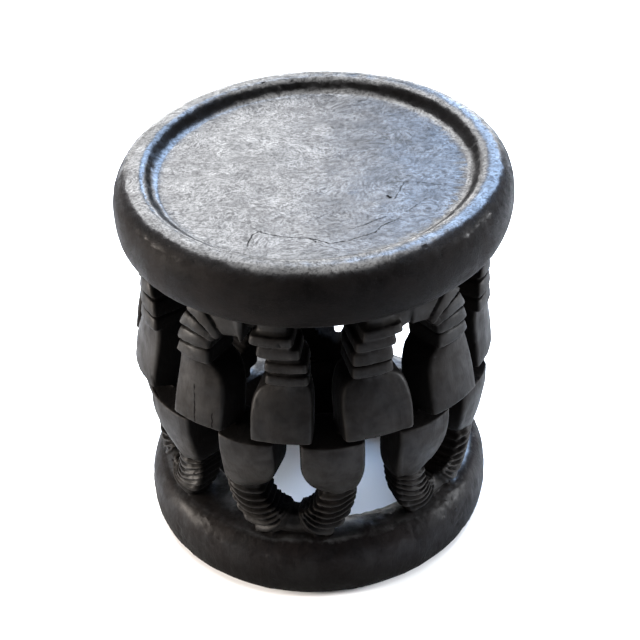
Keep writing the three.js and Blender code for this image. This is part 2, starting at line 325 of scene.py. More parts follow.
@dataclass
class BellRow:
    """A ring of twelve bells whose ringed necks join in pairs."""

    bells: tuple
    rows: tuple
    tilt: float
    z0: float
    z1: float
    half: float
    half_end: float
    front0: float
    front1: float
    back: float
    corner: float
    sag: float
    rings: tuple
    plain: float
    sink: float
    ring_cut: RingCut
    skew: float
    proud: float = 3.0
    groove: float = 1.6
    gap: float = 0.22
    bridge_from: float = 0.55
    bridge_back: float = 137.5

    @property
    def up(self) -> bool:
        """True where the necks rise from the bells."""
        return self.z1 > self.z0

    @staticmethod
    def section(left: float, right: float, front: float, back: float, corner: float, sag: float,
                cut: tuple) -> Array:
        """Points round a bell or neck, as side and front-to-back distances.

        Args:
            left: half width to the left.
            right: half width to the right.
            front: radius of the front face.
            back: radius of the back face.
            corner: size of the front corners.
            sag: how far the front face falls back towards its corners.
            cut: cuts of the two back corners.

        Returns:
            Rows of side and radius.
        """
        edge = front - sag - corner
        turns = [(math.sin(a), math.cos(a)) for a in np.radians(CORNER_TURNS)]
        down = np.linspace(0, 1, SIDE_POINTS)
        pts = [(corner - left + u * (left + right - 2 * corner), front - sag * (2 * u - 1) ** 2)
               for u in np.linspace(0, 1, FRONT_POINTS)]
        pts += [(right - corner + corner * x, edge + corner * y) for x, y in turns]
        pts += [(right - TAPER * u, edge + u * (back + cut[1] - edge)) for u in down]
        pts.append((right - TAPER - CUT_BEND * cut[1], back + CUT_BEND * cut[1]))
        start, end = right - TAPER - cut[1], -left + TAPER + cut[0]
        pts += [(start + u * (end - start), back) for u in np.linspace(0, 1, BACK_POINTS)]
        pts.append((-left + TAPER + CUT_BEND * cut[0], back + CUT_BEND * cut[0]))
        low = back + cut[0]
        pts += [(-left + TAPER * (1 - u), low + u * (edge - low)) for u in down]
        pts += [(-left + corner * (1 - x), edge + corner * y) for x, y in turns]
        return np.array(pts)

    @staticmethod
    def place(around: float, side: Array, radius: Array, z: Array) -> Array:
        """Puts points at an angle round the log, so both side faces stay parallel.

        Args:
            around: distance round the log, in mm.
            side: distances to the side.
            radius: distances from the middle.
            z: heights.

        Returns:
            The points.
        """
        a = around / MID_R
        x = side * math.cos(a) + radius * math.sin(a) + LEAN.shift(z)
        return np.stack([x, side * math.sin(a) - radius * math.cos(a), z], 1)

    def path(self, start: float, end: float, z0: float, square: float) -> tuple:
        """Points of a quarter of a squared oval, from a neck's start to its end.

        Args:
            start: where the neck leaves the bell, round the log in mm.
            end: the middle of the pair.
            z0: height of the start.
            square: how square the quarter is.

        Returns:
            Places round the log, heights and shares of the way.
        """
        p = np.linspace(0, math.pi / 2, WAY_POINTS)
        c = np.clip(np.cos(p), 0, None) ** (2 / square)
        s = start + (end - start) * (1 - c)
        z = z0 + (self.z1 - z0) * np.sin(p) ** (2 / square)
        run = np.concatenate([[0], np.cumsum(np.hypot(np.diff(s), np.diff(z)))])
        return s, z, run / run[-1]

    def growth(self, t: float) -> float:
        """How far the neck's surface stands out at a share of its way, from its carved rings.

        Args:
            t: share of the way.

        Returns:
            Distance in mm, below 0 in a groove.
        """
        ends = list(self.rings[1:]) + [self.plain]
        for a, b in zip(self.rings, ends):
            if not a <= t < b:
                continue
            u = (t - a) / ((b - a) * (1 - self.gap))
            if u > 1:
                return -self.groove
            if self.ring_cut is RingCut.CORDED:
                swell = math.sin(math.pi * u) ** RING_CURVE
                return -self.groove + (self.proud + self.groove) * swell
            return LIP_LEAST + (self.proud - LIP_LEAST) * (1 - u) ** RING_CURVE
        if t < self.rings[0]:
            return -FIRST_DEPTH * self.groove
        return -self.sink * min(1.0, (t - self.plain) / NECK_FADE)

    def marks(self) -> list:
        """Shares of a neck's way at which it gets a section.

        Returns:
            The shares in order.
        """
        ends = list(self.rings[1:]) + [self.plain]
        made = [0.5 * self.rings[0], self.rings[0] - RING_EDGE]
        for a, b in zip(self.rings, ends):
            step = (b - a) * (1 - self.gap)
            made += [a + step * u for u in RING_SHARES] + [b - RING_EDGE]
        return made + list(np.linspace(self.plain + PLAIN_AFTER, PLAIN_STOP, PLAIN_POINTS))

    def turned_section(self, bell: Bell, path: tuple, turn: int, t: float, grow: float,
                       back: float) -> Array:
        """A section that turns with the neck's way, run on a little at its inner side.

        Args:
            bell: the bell.
            path: sideways places, heights and shares of the neck's way.
            turn: +1 where the other bell of the pair is on the right, -1 on the left.
            t: share of the way.
            grow: how far the section stands out.
            back: radius of the back face.

        Returns:
            The section's points.
        """
        s, z, run = path
        way = 1 if self.up else -1
        neck_half = self.half + bell.plus
        width = neck_half + (self.half_end - neck_half) * t**2 + grow
        front = self.front0 + (self.front1 - self.front0) * t + grow - bell.neck_in
        pts = self.section(width, width, front, back, self.corner, self.sag, bell.cut)
        skew = self.skew * math.sin(math.pi * min(max(t, 0.0), 1.0))
        at = np.clip(t + skew * turn * pts[:, 0] / width, 0, 1)
        a, b = np.clip(at - TURN_REACH, 0, 1), np.clip(at + TURN_REACH, 0, 1)
        ds = np.interp(b, run, s) - np.interp(a, run, s)
        dz = np.interp(b, run, z) - np.interp(a, run, z)
        length = np.hypot(ds, dz)
        sx = np.interp(at, run, s) + pts[:, 0] * way * dz / length
        zz = np.interp(at, run, z) - pts[:, 0] * way * ds / length
        return self.curved(sx, pts[:, 1], zz)

    def end_section(self, bell: Bell, path: tuple, turn: int, sunk: float,
                    back: float) -> Array:
        """The upright section in the middle of a pair.

        Args:
            bell: the bell.
            path: the neck's way.
            turn: +1 or -1, as for the bell.
            sunk: how far the front is set back.
            back: radius of the back face.

        Returns:
            The section's points.
        """
        half = self.half_end - self.sink
        pts = self.section(half, half, self.front1 - sunk, back, self.corner, self.sag, bell.cut)
        end = np.full(len(pts), path[0][-1] + PAIR_OVERLAP * turn)
        return self.curved(end, pts[:, 1], path[1][-1] - pts[:, 0] * turn * (1 if self.up else -1))

    def bell_sections(self, bell: Bell, turn: int) -> list:
        """Sections of a bell from its mouth to its neck.

        Args:
            bell: the bell.
            turn: +1 where the other bell of the pair is on the right, -1 on the left.

        Returns:
            The sections.
        """
        around = math.radians(bell.deg) * MID_R
        half = 0.5 * bell.wide
        neck_half = self.half + bell.plus
        made = []
        rows = smooth_rows(np.array(self.rows, float), BELL_STEPS)
        for k, (z, inner, outer, front_r, back, corner) in enumerate(rows):
            share = k / (len(rows) - 1)
            to_inner = half + (neck_half - bell.out - half) * inner
            to_outer = half + (neck_half + bell.out - half) * outer
            left, right = (to_outer, to_inner) if turn > 0 else (to_inner, to_outer)
            front = front_r - bell.inset - (bell.neck_in - bell.inset) * share
            corner += BELL_ROUND
            pts = self.section(left, right, front, back, corner, BELL_SAG, bell.cut)
            lean = self.tilt * max(0.0, 1 - k / BELL_STEPS)
            zz = z - bell.low * share + lean * (front - pts[:, 1])
            made.append(self.place(around, pts[:, 0], pts[:, 1], zz))
        return made

    def stack_sections(self, bell: Bell, turn: int) -> list:
        """Sections of a neck that rises as flat blocks up into the seat.

        Args:
            bell: the bell.
            turn: +1 where the other bell of the pair is on the right, -1 on the left.

        Returns:
            The sections.
        """
        around = math.radians(bell.deg) * MID_R - turn * bell.out
        neck_half = self.half + bell.plus

        def block(z: float, shift: float, grow: float) -> Array:
            """One section of the neck.

            Args:
                z: height.
                shift: distance to the side.
                grow: how far it stands out.

            Returns:
                The section's points.
            """
            front = self.front0 + grow - bell.neck_in
            pts = self.section(neck_half + grow, neck_half + grow, front, self.back, self.corner,
                               self.sag, bell.cut)
            return self.place(around + turn * shift, pts[:, 0], pts[:, 1], np.full(len(pts), z))

        made = []
        for low, high, shift in bell.stack:
            rows = [(low + rise, self.proud + out) for rise, out in BLOCK_LOW]
            rows += [(high + rise, out) for rise, out in BLOCK_HIGH]
            ends = (low - BLOCK_CLEAR, -self.groove), (high + BLOCK_CLEAR, -self.groove)
            made += [block(z, shift, grow) for z, grow in (ends[0], *rows, ends[1])]
        return made + [block(z, shift, -STACK_IN) for z in (high + STACK_RISE, NECK_END)]

    def bell_shells(self, bell: Bell, turn: int, middle: float) -> list:
        """Builds one bell with its neck as closed shells.

        Args:
            bell: the bell.
            turn: +1 where the other bell of the pair is on the right, -1 on the left.
            middle: angle of the middle of the pair.

        Returns:
            The bell with its neck, and the bridge of a stacked neck.
        """
        made = self.bell_sections(bell, turn)
        start = math.radians(bell.deg) * MID_R - turn * bell.out
        path = self.path(start, math.radians(middle) * MID_R, self.z0 - bell.low, bell.square)
        if bell.stack:
            bridge = [self.turned_section(bell, path, turn, t, -bell.set_back, self.bridge_back)
                      for t in np.linspace(self.bridge_from, BRIDGE_STOP, BRIDGE_POINTS)]
            bridge.append(self.end_section(bell, path, turn, bell.set_back, self.bridge_back))
            return [loft(np.array(made + self.stack_sections(bell, turn))), loft(np.array(bridge))]
        made += [self.turned_section(bell, path, turn, t, self.growth(t), self.back)
                 for t in self.marks()]
        made.append(self.end_section(bell, path, turn, self.sink, self.back))
        rings = np.array(made)
        return [loft(rings if self.up else rings[:, ::-1])]

    @staticmethod
    def curved(around: Array, radius: Array, z: Array) -> Array:
        """Puts neck points on the round of the log."""
        a = around / MID_R
        return np.stack([radius * np.sin(a) + LEAN.shift(z), -radius * np.cos(a), z], 1)

    def shells(self) -> list:
        """All bells of the ring. They pair off from the second one on.

        Returns:
            The shells.
        """
        n = len(self.bells)
        made = []
        for i, bell in enumerate(self.bells):
            turn = 1 if i % 2 else -1
            gap = self.bells[(i + turn) % n].deg - bell.deg
            if gap * turn < 0:
                gap += 360 * turn
            made += self.bell_shells(bell, turn, bell.deg + gap / 2)
        return made


UPPER_BELLS = BellRow(
    bells=(
        Bell(-71, 64, inset=4, neck_in=-2, out=9, plus=2),
        Bell(-39.5, 61, out=12, plus=3, square=3),
        Bell(-12, 61, out=5.5, plus=1.5, low=6, square=1.9, cut=(6, 16), set_back=9,
             stack=((281, 291, 0), (296, 306, 0.5), (312, 323, 8), (326, 336, 15))),
        Bell(17.5, 71, out=3, low=1, square=2.2, cut=(4, 7), set_back=2,
             stack=((285, 297, 0), (300, 313, 0), (316, 326, 3), (328, 338, 10))),
        Bell(45, 64, out=8, plus=4, square=3, cut=(4, 6)),
        Bell(72, 60, inset=11, out=8, plus=2),
        Bell(106, 62, inset=12),
        Bell(137, 64, inset=2),
        Bell(167, 66, out=6, low=2),
        Bell(197, 66),
        Bell(227, 64, inset=2, low=2),
        Bell(257, 62, inset=5, neck_in=-1),
    ),
    rows=(
        (219.5, 0, 0, 196.5, 147, 2.5), (240, -0.03, -0.04, 192.5, 145, 3),
        (256, 0.02, -0.02, 188.5, 142.5, 4), (269, 0.2, 0.14, 185, 140.5, 4.5),
        (278, 0.5, 0.42, 182.5, 139, 5), (285, 1, 1, 181, 138, 5),
    ),
    tilt=-0.22, z0=285, z1=341.5, half=17.3, half_end=17.5, front0=181, front1=176, back=135,
    corner=5, sag=1.3, rings=(0.01, 0.19, 0.37, 0.54), plain=0.7, sink=0.0, ring_cut=RingCut.LIPPED,
    skew=0.08,
)
LOWER_BELLS = BellRow(
    bells=(
        Bell(-55, 68, square=2.2),
        Bell(-24, 60, out=12, plus=3, low=1, square=2.2),
        Bell(3.6, 64, plus=2, low=2, square=2.2),
        Bell(34.5, 61, out=5, low=4, square=2.3, cut=(10, 6)),
        Bell(61.5, 57, inset=3, out=8, square=2.2),
        Bell(92, 64, inset=11, neck_in=5, square=2.2),
        Bell(123, 64, inset=3, neck_in=1, square=2.2),
        Bell(156.5, 62, out=8, square=2.4),
        Bell(183, 62, out=8, square=2.4),
        Bell(212, 64, out=8),
        Bell(243, 64, inset=2, square=2.2),
        Bell(273, 64, inset=8, neck_in=3, square=2.2),
    ),
    rows=(
        (207.5, 0, 0, 190, 143, 3), (188, -0.02, -0.03, 189, 142, 3),
        (169, 0.06, 0.03, 185.5, 140, 4), (152, 0.42, 0.38, 181, 138, 6),
        (140, 1, 1, 176.5, 137, 8),
    ),
    tilt=0.2, z0=140, z1=81, half=17.8, half_end=20, front0=174, front1=167, back=134,
    corner=8, sag=3.5, rings=(0.05, 0.16, 0.27, 0.38, 0.49, 0.60, 0.71), plain=0.82, sink=4.0,
    ring_cut=RingCut.CORDED, skew=0.2, proud=2.8, groove=1.4, gap=0.3,
)


@dataclass(frozen=True)
class Keel:
    """The pointed fin that hangs under the seat where a pair of necks meets."""

    deg: float = -25.75
    front: float = 179.5
    back: float = 150.0
    top: float = 357.0
    tip: float = 318.5
    half_top: float = 6.5
    tip_share: float = 0.12
    swell: float = 0.8
    hook: float = 5.0
    chamfer: float = 2.5
    sections: int = 7

    def shell(self) -> Shell:
        """Builds the fin.

        Returns:
            The fin's shell.
        """
        around = math.radians(self.deg) * MID_R
        made = []
        for share in np.linspace(0, 1, self.sections):
            half = self.half_top * (self.tip_share + (1 - self.tip_share) * share**self.swell)
            front = self.front - self.hook * (1 - share) ** 2
            edge = front - self.chamfer
            side = np.array([-half, 0, half, half, -half])
            radius = np.array([edge, front, edge, self.back, self.back])
            z = np.full(len(side), self.tip + (self.top - self.tip) * share)
            made.append(BellRow.place(around, side, radius, z))
        return loft(np.array(made))


SEED = 7
NOISE_TABLE = 256
NOISE_REACH = 1.6  # brings the noise to about -1 to 1

# Where each kind of tool mark sets in: a height or radius in mm and the width of the change,
# negative where the marks lie below or inside it.
DISH_ABOVE, DISH_INSIDE = (400, 6), (160, -6)
RIM_ABOVE, RIM_OUTSIDE = (385, 20), (155, 6)
SIDE_ABOVE, SIDE_BELOW = (356, 4), (400, -8)
LEGS_ABOVE, LEGS_BELOW = (72, 4), (356, -4)
BASE_BELOW = (76, -4)
FOOT_ABOVE = (0, 3)

# Layers of tool marks: depth and size in mm, with a size for each axis where they are drawn out.
BROAD_CUT = (0.45, 46)
DISH_CUTS = ((0.25, 38), (0.20, (13, 7, 9)))
RIM_CUTS = ((0.34, 11), (0.26, 5))
SIDE_CUT = (0.22, 9)
LEG_CUTS = ((0.34, (10, 10, 34)), (0.12, 5))
BASE_CUT = (0.32, 14)

# Rough-hewn patches of the base, with deeper chips.
HEWN_SIZE, HEWN_GAIN, HEWN_FROM, HEWN_DEPTH = 40, 3.0, 0.3, 0.3
CHIP_SIZE, CHIP_LEAST, CHIP_MORE = 5.5, 0.12, 0.7

BOX_MARGIN = 0.1  # mm kept free inside the CAD box
FOOT_BELOW, FOOT_AT = 0.8, 0.02  # points below the first height are set to the second, in mm
# Raised and hollow form from the bend of the surface: raised edges are lightened, partly as worn
# wood and partly as a painted highlight, and hollows take painted shade.
WEAR_SHADE_FLAT, WEAR_SHADE_GAIN, WEAR_SHADE_ROUNDS = 0.5, 1.6, 2


class Noise:
    """Smooth random numbers in space, the same on every run."""

    def __init__(self, seed: int) -> None:
        """Fills the table of random slopes.

        Args:
            seed: start of the random numbers.
        """
        rng = np.random.default_rng(seed)
        self.order = rng.permutation(NOISE_TABLE)
        g = rng.normal(size=(NOISE_TABLE, 3))
        self.slopes = g / np.linalg.norm(g, axis=1)[:, None]

    def at(self, p: Array) -> Array:
        """Noise between about -1 and 1 at each point, with a cell size of 1.

        Args:
            p: the points.

        Returns:
            One number for each point.
        """
        cell = np.floor(p).astype(np.int64)
        f = p - cell
        w = f * f * f * (f * (f * 6 - 15) + 10)
        total = np.zeros(len(p))
        for corner in product((0, 1), repeat=3):
            h = 0
            for axis, step in enumerate(corner):
                h = self.order[(h + cell[:, axis] + step) & (NOISE_TABLE - 1)]
            dot = (self.slopes[h] * (f - corner)).sum(1)
            total += dot * np.where(corner, w, 1 - w).prod(1)
        return total * NOISE_REACH


def read(items: object, name: str, width: int, kind: type = np.float32) -> Array:
    """Reads a property of a mesh's points, edges or faces as rows of numbers.

    Args:
        items: the points, edges or faces.
        name: the property's name.
        width: numbers in a row.
        kind: type of the numbers.

    Returns:
        The rows.
    """
    values = np.empty(len(items) * width, kind)
    items.foreach_get(name, values)
    return values.reshape(-1, width)


def changed(mesh: Mesh, kind: str, **settings: object) -> Mesh:
    """Runs a modifier on a mesh.

    Args:
        mesh: the mesh, which is removed.
        kind: the modifier's type.
        settings: the modifier's settings.

    Returns:
        The new mesh.
    """
    holder = put("holder", mesh)
    modifier = holder.modifiers.new("change", kind)
    for name, value in settings.items():
        setattr(modifier, name, value)
    depsgraph = bpy.context.evaluated_depsgraph_get()
    made = bpy.data.meshes.new_from_object(holder.evaluated_get(depsgraph))
    bpy.data.objects.remove(holder)
    bpy.data.meshes.remove(mesh)
    return made


@dataclass
class Carving:
    """Turns the rough shells into one carved piece with tool marks."""

    voxel: float = 1.25
    triangles: int = 188000
    noise: Noise = field(default_factory=lambda: Noise(SEED))

    def fuse(self, shells: list) -> Mesh:
        """Joins closed shells into one skin.

        Args:
            shells: the shells, in mm.

        Returns:
            A mesh in metres.
        """
        points = np.concatenate([s.points for s in shells]) * MM
        start, faces = 0, []
        for s in shells:
            faces += [list(dict.fromkeys(face)) for face in (s.faces + start).tolist()]
            start += len(s.points)
        rough = bpy.data.meshes.new("rough")
        rough.from_pydata(points.tolist(), [], faces)
        rough.validate()
        return changed(rough, "REMESH", mode="VOXEL", voxel_size=self.voxel * MM)

    def layers(self, p: Array, *cuts: tuple) -> Array:
        """Adds up layers of marks, each given by its depth and size."""
        return sum(depth * self.noise.at(p / size) for depth, size in cuts)

    def marks(self, p: Array, n: Array) -> Array:
        """How far the tools left each point above or below the plain form.

        Args:
            p: points in mm.
            n: surface directions.

        Returns:
            Distances in mm along the surface direction.
        """
        z, r = p[:, 2], np.hypot(p[:, 0], p[:, 1])
        dish = fade(z, *DISH_ABOVE) * np.clip(n[:, 2], 0, 1) * fade(r, *DISH_INSIDE)
        rim = fade(z, *RIM_ABOVE) * fade(r, *RIM_OUTSIDE)
        side = fade(z, *SIDE_ABOVE) * fade(z, *SIDE_BELOW)
        legs = fade(z, *LEGS_ABOVE) * fade(z, *LEGS_BELOW)
        d = (1 - dish) * self.layers(p, BROAD_CUT) + dish * self.layers(p, *DISH_CUTS)
        d += rim * self.layers(p, *RIM_CUTS) + side * self.layers(p, SIDE_CUT)
        d += legs * self.layers(p, *LEG_CUTS)
        hewn = np.clip(HEWN_GAIN * self.noise.at(p / HEWN_SIZE) - HEWN_FROM, 0, 1)
        chips = (CHIP_LEAST + CHIP_MORE * hewn) * self.noise.at(p / CHIP_SIZE)
        d += fade(z, *BASE_BELOW) * (self.layers(p, BASE_CUT) + chips - HEWN_DEPTH * hewn)
        return d * fade(z, *FOOT_ABOVE)

    def carve(self, skin: Mesh) -> None:
        """Adds the tool marks, flattens the foot and keeps the piece inside the CAD box.

        Args:
            skin: the skin.
        """
        p = read(skin.vertices, "co", 3).astype(float) / MM
        n = read(skin.vertex_normals, "vector", 3).astype(float)
        p += n * self.marks(p, n)[:, None]
        low, high = np.array(CAD_LOW) / MM, np.array(CAD_HIGH) / MM
        p = np.clip(p, low + BOX_MARGIN, high - BOX_MARGIN)
        p[:, 2] = np.where(p[:, 2] < FOOT_BELOW, FOOT_AT, p[:, 2])
        skin.vertices.foreach_set("co", (p * MM).astype(np.float32).ravel())
        skin.update()

    def thin(self, skin: Mesh) -> Mesh:
        """Thins the skin to the wanted number of triangles, least where the form is fine."""
        skin.calc_loop_triangles()
        return changed(skin, "DECIMATE", ratio=min(1.0, self.triangles / len(skin.loop_triangles)))

    @staticmethod
    def edges(mesh: Mesh) -> None:
        """Stores how raised or hollow the surface is, as an attribute for lighter edges (worn and
        painted highlight) and painted shade in hollows.

        Args:
            mesh: the mesh.
        """
        p = read(mesh.vertices, "co", 3).astype(float) / MM
        n = read(mesh.vertex_normals, "vector", 3).astype(float)
        a, b = read(mesh.edges, "vertices", 2, np.int32).T
        count = len(p)
        number = np.maximum(np.bincount(a, minlength=count) + np.bincount(b, minlength=count), 1)

        def mean(at_a: Array, at_b: Array) -> Array:
            """Mean value of the edges that meet at each point."""
            return (np.bincount(a, at_a, count) + np.bincount(b, at_b, count)) / number

        way = p[b] - p[a]
        length = np.maximum(np.linalg.norm(way, axis=1), 1e-6)
        bend = ((n[b] - n[a]) * way).sum(1) / length**2
        value = mean(bend, bend)
        for _ in range(WEAR_SHADE_ROUNDS):
            value = 0.5 * value + 0.5 * mean(value[b], value[a])
        wear_and_shade = np.clip(WEAR_SHADE_FLAT + WEAR_SHADE_GAIN * value, 0, 1).astype(np.float32)
        mesh.attributes.new("wear_and_shade", "FLOAT", "POINT").data.foreach_set("value", wear_and_shade)


class Graph:
    """Small help for building node trees."""

    def __init__(self, tree: Tree) -> None:
        """Keeps the tree."""
        self.tree = tree

    def add(self, kind: str, filled: dict | None = None, **settings: object) -> bpy.types.Node:
        """Adds a node.

        Args:
            kind: the node's type.
            filled: a number, vector or socket for each input, by name or place.
            settings: the node's properties.

        Returns:
            The node.
        """
        node = self.tree.nodes.new(kind)
        for name, value in settings.items():
            setattr(node, name, value)
        for key, value in (filled or {}).items():
            if isinstance(value, Socket):
                self.wire(value, node.inputs[key])
            else:
                node.inputs[key].default_value = value
        return node

    def wire(self, source: Socket, target: Socket) -> None:
        """Links two sockets."""
        self.tree.links.new(source, target)

    def math(self, kind: str, a: object, b: object = 0.0, c: object = 0.0) -> Socket:
        """A math node."""
        return self.add("ShaderNodeMath", {0: a, 1: b, 2: c}, operation=kind).outputs[0]

    def times(self, *factors: object) -> Socket:
        """Multiplies numbers."""
        return reduce(lambda a, b: self.math("MULTIPLY", a, b), factors)

    def rest(self, share: Socket) -> Socket:
        """What is left of 1."""
        return self.math("SUBTRACT", 1.0, share)

    def ramp(self, value: object, low: object, high: object, out_low: float = 0.0,
             out_high: float = 1.0) -> Socket:
        """Maps a range of values smoothly to another."""
        filled = {0: value, 1: low, 2: high, 3: out_low, 4: out_high}
        return self.add("ShaderNodeMapRange", filled, interpolation_type="SMOOTHSTEP").outputs[0]

    def mix(self, share: object, a: object, b: object) -> Socket:
        """Mixes two colours."""
        return self.add("ShaderNodeMix", {0: share, 6: a, 7: b}, data_type="RGBA").outputs[2]

    def noise(self, where: object, scale: object, detail: float, rough: float = 0.5,
              twist: float = 0.0) -> Socket:
        """A noise texture's value."""
        filled = {"Vector": where, "Scale": scale, "Detail": detail, "Roughness": rough,
                  "Distortion": twist}
        return self.add("ShaderNodeTexNoise", filled).outputs["Fac"]

    def cells(self, where: object, scale: object, feature: str) -> Socket:
        """A cell texture's distance."""
        filled = {"Vector": where, "Scale": scale}
        return self.add("ShaderNodeTexVoronoi", filled, feature=feature).outputs["Distance"]

    def vector(self, kind: str, a: object, b: object = (0, 0, 0), give: object = 0) -> Socket:
        """A vector math node."""
        return self.add("ShaderNodeVectorMath", {0: a, 1: b}, operation=kind).outputs[give]

    def upright(self, vector: object) -> Socket:
        """The upright part of a vector."""
        return self.add("ShaderNodeSeparateXYZ", {0: vector}).outputs[2]

    def shaken(self, where: object, scale: float, detail: float, rough: float,
               reach: float) -> Socket:
        """Moves places to and fro by noise, up to half the reach each way.

        Args:
            where: the places.
            scale: scale of the noise.
            detail: its detail.
            rough: its roughness.
            reach: size of the steps.

        Returns:
            The moved places.
        """
        colour = self.noise(where, scale, detail, rough).node.outputs["Color"]
        centred = self.vector("SUBTRACT", colour, (0.5, 0.5, 0.5))
        return self.vector("ADD", where, self.vector("MULTIPLY", centred, (reach,) * 3))


def new_group(name: str, takes: dict, gives: tuple) -> tuple:
    """Starts a shader node group with named sockets.

    Args:
        name: the group's name.
        takes: name and value of each input but Place, None for a vector.
        gives: names of the outputs, all of them numbers.

    Returns:
        The group, its graph, the inputs' outputs and the outputs' inputs.
    """
    group = bpy.data.node_groups.new(name, "ShaderNodeTree")
    for label, value in {"Place": None, **takes}.items():
        kind = "NodeSocketVector" if value is None else "NodeSocketFloat"
        socket = group.interface.new_socket(name=label, in_out="INPUT", socket_type=kind)
        if value is not None:
            socket.default_value = value
    for label in gives:
        group.interface.new_socket(name=label, in_out="OUTPUT", socket_type="NodeSocketFloat")
    graph = Graph(group)
    return group, graph, graph.add("NodeGroupInput").outputs, graph.add("NodeGroupOutput").inputs


def tool_marks_group() -> Tree:
    """Fine knife and gouge marks, as a height.

    Returns:
        The group.
    """
    takes = {"Size": 120.0}
    group, g, take, give = new_group("tool_marks", takes, ("Height", "Spots"))
    place, size = take["Place"], take["Size"]
    broad = g.noise(place, size, detail=4.0, rough=0.62, twist=0.4)
    dents = g.cells(place, g.times(size, 1.3), "SMOOTH_F1")
    fine = g.noise(place, g.times(size, 5.0), detail=3.0, rough=0.6, twist=0.2)
    body = g.math("MULTIPLY_ADD", dents, -0.55, broad)
    g.wire(g.math("MULTIPLY_ADD", fine, 0.25, body), give["Height"])
    g.wire(g.ramp(fine, 0.42, 0.66), give["Spots"])
    return group


def ripples_group() -> Tree:
    """Short wavy ripples in the waxed skin, stronger and weaker in patches.

    Returns:
        The group.
    """
    takes = {"Size": 150.0}
    group, g, take, give = new_group("ripples", takes, ("Height", "Stroke"))
    patch = g.ramp(g.noise(take["Place"], 14.0, detail=3.0, rough=0.55), 0.38, 0.62)
    bent = g.shaken(take["Place"], 17.0, detail=2.0, rough=0.5, reach=0.05)
    waves = g.noise(bent, take["Size"], detail=4.0, rough=0.66, twist=0.7)
    ridge = g.math("ABSOLUTE", g.math("SUBTRACT", waves, 0.5))
    height = g.math("MULTIPLY_ADD", ridge, -2.4, g.times(waves, 0.6))
    strength = g.math("MULTIPLY_ADD", patch, 0.6, 0.4)
    g.wire(g.times(height, strength), give["Height"])
    size = g.times(take["Size"], 0.37)
    broad = g.noise(bent, size, detail=3.0, rough=0.6, twist=0.8)
    stroke = g.math("MULTIPLY_ADD", g.math("SUBTRACT", broad, 0.5), 0.5, waves)
    g.wire(g.ramp(stroke, 0.34, 0.62), give["Stroke"])
    return group


def cracks_group() -> Tree:
    """Fine drying cracks that wander along the grain, as a mask.

    Returns:
        The group.
    """
    takes = {"Size": 14.0, "Amount": 0.4}
    group, g, take, give = new_group("drying_cracks", takes, ("Mask",))
    place, size, amount = take["Place"], take["Size"], take["Amount"]
    waves = g.noise(place, size, detail=1.6, rough=0.3, twist=0.1)
    line = g.math("ABSOLUTE", g.math("SUBTRACT", waves, 0.5))
    width = g.noise(place, g.times(size, 9.0), detail=2.0)
    width = g.ramp(width, 0.3, 0.7, 0.003, 0.012)
    line = g.rest(g.ramp(line, 0.0, width))
    where = g.noise(place, g.times(size, 1.1), detail=2.0, twist=0.5)
    some = g.ramp(where, g.math("SUBTRACT", 0.80, amount), g.math("SUBTRACT", 0.86, amount))
    g.wire(g.times(line, some), give["Mask"])
    return group


def crack_line_group() -> Tree:
    """One straight piece of a drawn crack, as a mask.

    Returns:
        The group.
    """
    takes = {"Start": None, "Way": None, "Width": 0.001}
    group, g, take, give = new_group("crack_line", takes, ("Mask",))
    way = take["Way"]
    away = g.vector("SUBTRACT", take["Place"], take["Start"])
    along = g.vector("DOT_PRODUCT", away, way, give="Value")
    whole = g.vector("DOT_PRODUCT", way, way, give="Value")
    share = g.add("ShaderNodeClamp", {"Value": g.math("DIVIDE", along, whole)}).outputs[0]
    foot = g.add("ShaderNodeVectorMath", {0: way, "Scale": share}, operation="SCALE").outputs[0]
    gap = g.vector("DISTANCE", away, foot, give="Value")
    half = g.times(take["Width"], 0.35)
    g.wire(g.rest(g.ramp(gap, half, take["Width"])), give["Mask"])
    return group


def pits_group() -> Tree:
    """Small pits and chips scattered in patches, as a mask.

    Returns:
        The group.
    """
    group, g, take, give = new_group("pits", {"Amount": 0.4}, ("Mask",))
    place, amount = take["Place"], take["Amount"]
    spot = g.ramp(g.cells(place, 160.0, "F1"), 0.26, 0.14)
    where = g.noise(place, 24.0, detail=3.0, rough=0.6, twist=0.6)
    some = g.ramp(where, g.math("SUBTRACT", 0.92, amount), g.math("SUBTRACT", 1.02, amount))
    g.wire(g.times(spot, some), give["Mask"])
    return group


def wear_and_shade_group() -> Tree:
    """Lighter edges (worn and painted highlight), broken up by noise, and hollows for painted
    shade, both from the carved form.

    Returns:
        The group.
    """
    group, g, take, give = new_group("wear_and_shade", {}, ("RubbedAndHighlight", "HollowShade"))
    form = g.add("ShaderNodeAttribute", attribute_name="wear_and_shade").outputs["Fac"]
    broken = g.noise(take["Place"], 70.0, detail=4.0, rough=0.6)
    raised = g.math("MULTIPLY_ADD", g.math("SUBTRACT", broken, 0.5), 0.3, form)
    # Raised edges to be lightened: partly worn wood, partly a painted highlight.
    g.wire(g.ramp(raised, 0.62, 0.90), give["RubbedAndHighlight"])
    # Hollows, where the colour takes painted shade.
    g.wire(g.ramp(form, 0.46, 0.24), give["HollowShade"])
    return group


def facing_group() -> Tree:
    """How far the surface faces up and away from the middle of the log, and its height.

    Returns:
        The group.
    """
    takes = {"Surface": None}
    group, g, take, give = new_group("facing", takes, ("Up", "Out", "Height"))
    away = g.vector("NORMALIZE", g.vector("MULTIPLY", take["Place"], (1, 1, 0)))
    g.wire(g.upright(take["Surface"]), give["Up"])
    g.wire(g.vector("DOT_PRODUCT", away, take["Surface"], give="Value"), give["Out"])
    g.wire(g.upright(take["Place"]), give["Height"])
    return group


@dataclass(frozen=True)
class Gloss:
    """Where the wax shines: from and to a share of facing, and how much."""

    start: float
    full: float
    amount: float


NO_SHINE = Gloss(2.0, 3.0, 0.0)


